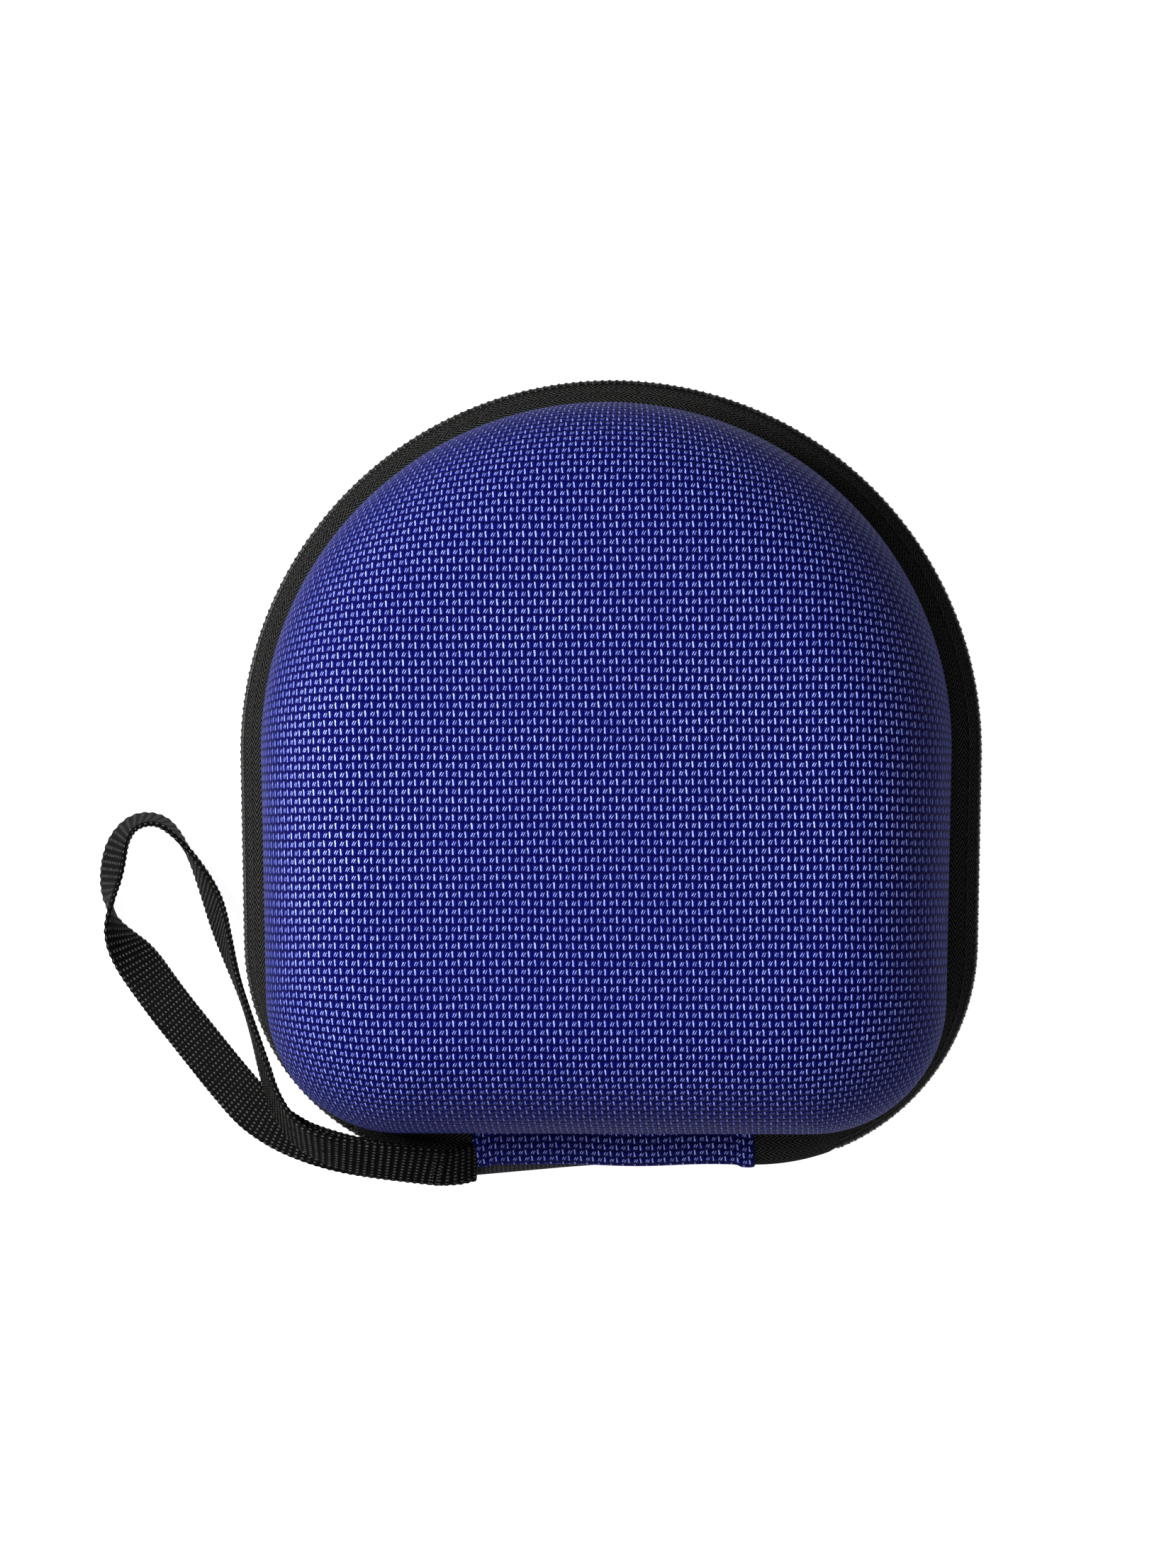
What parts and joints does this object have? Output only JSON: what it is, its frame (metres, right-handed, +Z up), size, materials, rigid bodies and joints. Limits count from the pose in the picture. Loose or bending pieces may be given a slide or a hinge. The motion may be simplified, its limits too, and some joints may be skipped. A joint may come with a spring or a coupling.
{
  "type": "headphone carrying case",
  "caption": "Hard domed zip case for folded headphones, two fabric-covered foam shells on a fabric hinge, with a wrist strap.",
  "frame": {"origin": "middle of the flat back of the base shell, which the case rests on", "axes": "+Z up from the base shell to the lid, +X to the right, +Y towards the arched end, the hinge along X at the -Y end"},
  "size_m": [0.191, 0.1652, 0.086],
  "materials": {
    "blue_fabric": "coarse plain-weave nylon in dark and bright blue yarns",
    "foam": "moulded closed-cell EVA foam, matt",
    "lining": "smooth knitted lining, matt",
    "binding": "ribbed bias binding, matt",
    "zip_tape": "herringbone woven polyester tape, matt",
    "zip_coil": "moulded nylon coil with a soft gloss",
    "slider_metal": "zinc die casting, satin dark grey lacquer",
    "webbing": "ribbed nylon webbing with woven edges"
  },
  "bodies": {
    "base": {"base_fabric_skin": "blue_fabric", "base_foam_shell": "foam", "base_lining": "lining", "base_rim_binding": "binding", "base_zip_tape": "zip_tape", "base_zip_coil": "zip_coil", "zip_tail_tape": "zip_tape", "zip_tail_coil": "zip_coil", "hinge_strip": "blue_fabric", "hinge_lining": "lining", "wrist_strap": "webbing", "strap_tack": "webbing"},
    "lid": {"lid_fabric_skin": "blue_fabric", "lid_foam_shell": "foam", "lid_lining": "lining", "lid_rim_binding": "binding", "lid_zip_tape": "zip_tape", "lid_zip_coil": "zip_coil"},
    "slider": {"slider_body": "slider_metal", "slider_bridge": "slider_metal"},
    "pull": {"pull_tab": "slider_metal"}
  },
  "joints": [
    {"name": "lid_hinge", "type": "hinge", "parent": "base", "child": "lid", "pos_m": [0, -0.0802, 0.043], "axis": [1, 0, 0], "range_deg": [0, 180], "deforming": ["hinge_strip", "hinge_lining", "zip_tail_tape", "zip_tail_coil", "wrist_strap"]},
    {"name": "slider_run", "type": "hinge", "parent": "base", "child": "slider", "pos_m": [-0.02946, -0.0345, 0.043], "axis": [0, 0, -1], "range_deg": [0, 62], "deforming": ["base_zip_coil", "lid_zip_coil", "zip_tail_coil", "wrist_strap"]},
    {"name": "pull_swing", "type": "hinge", "parent": "slider", "child": "pull", "pos_m": [-0.04161, -0.08104, 0.043], "axis": [0, 0, 1], "range_deg": [0, 165]}
  ]
}
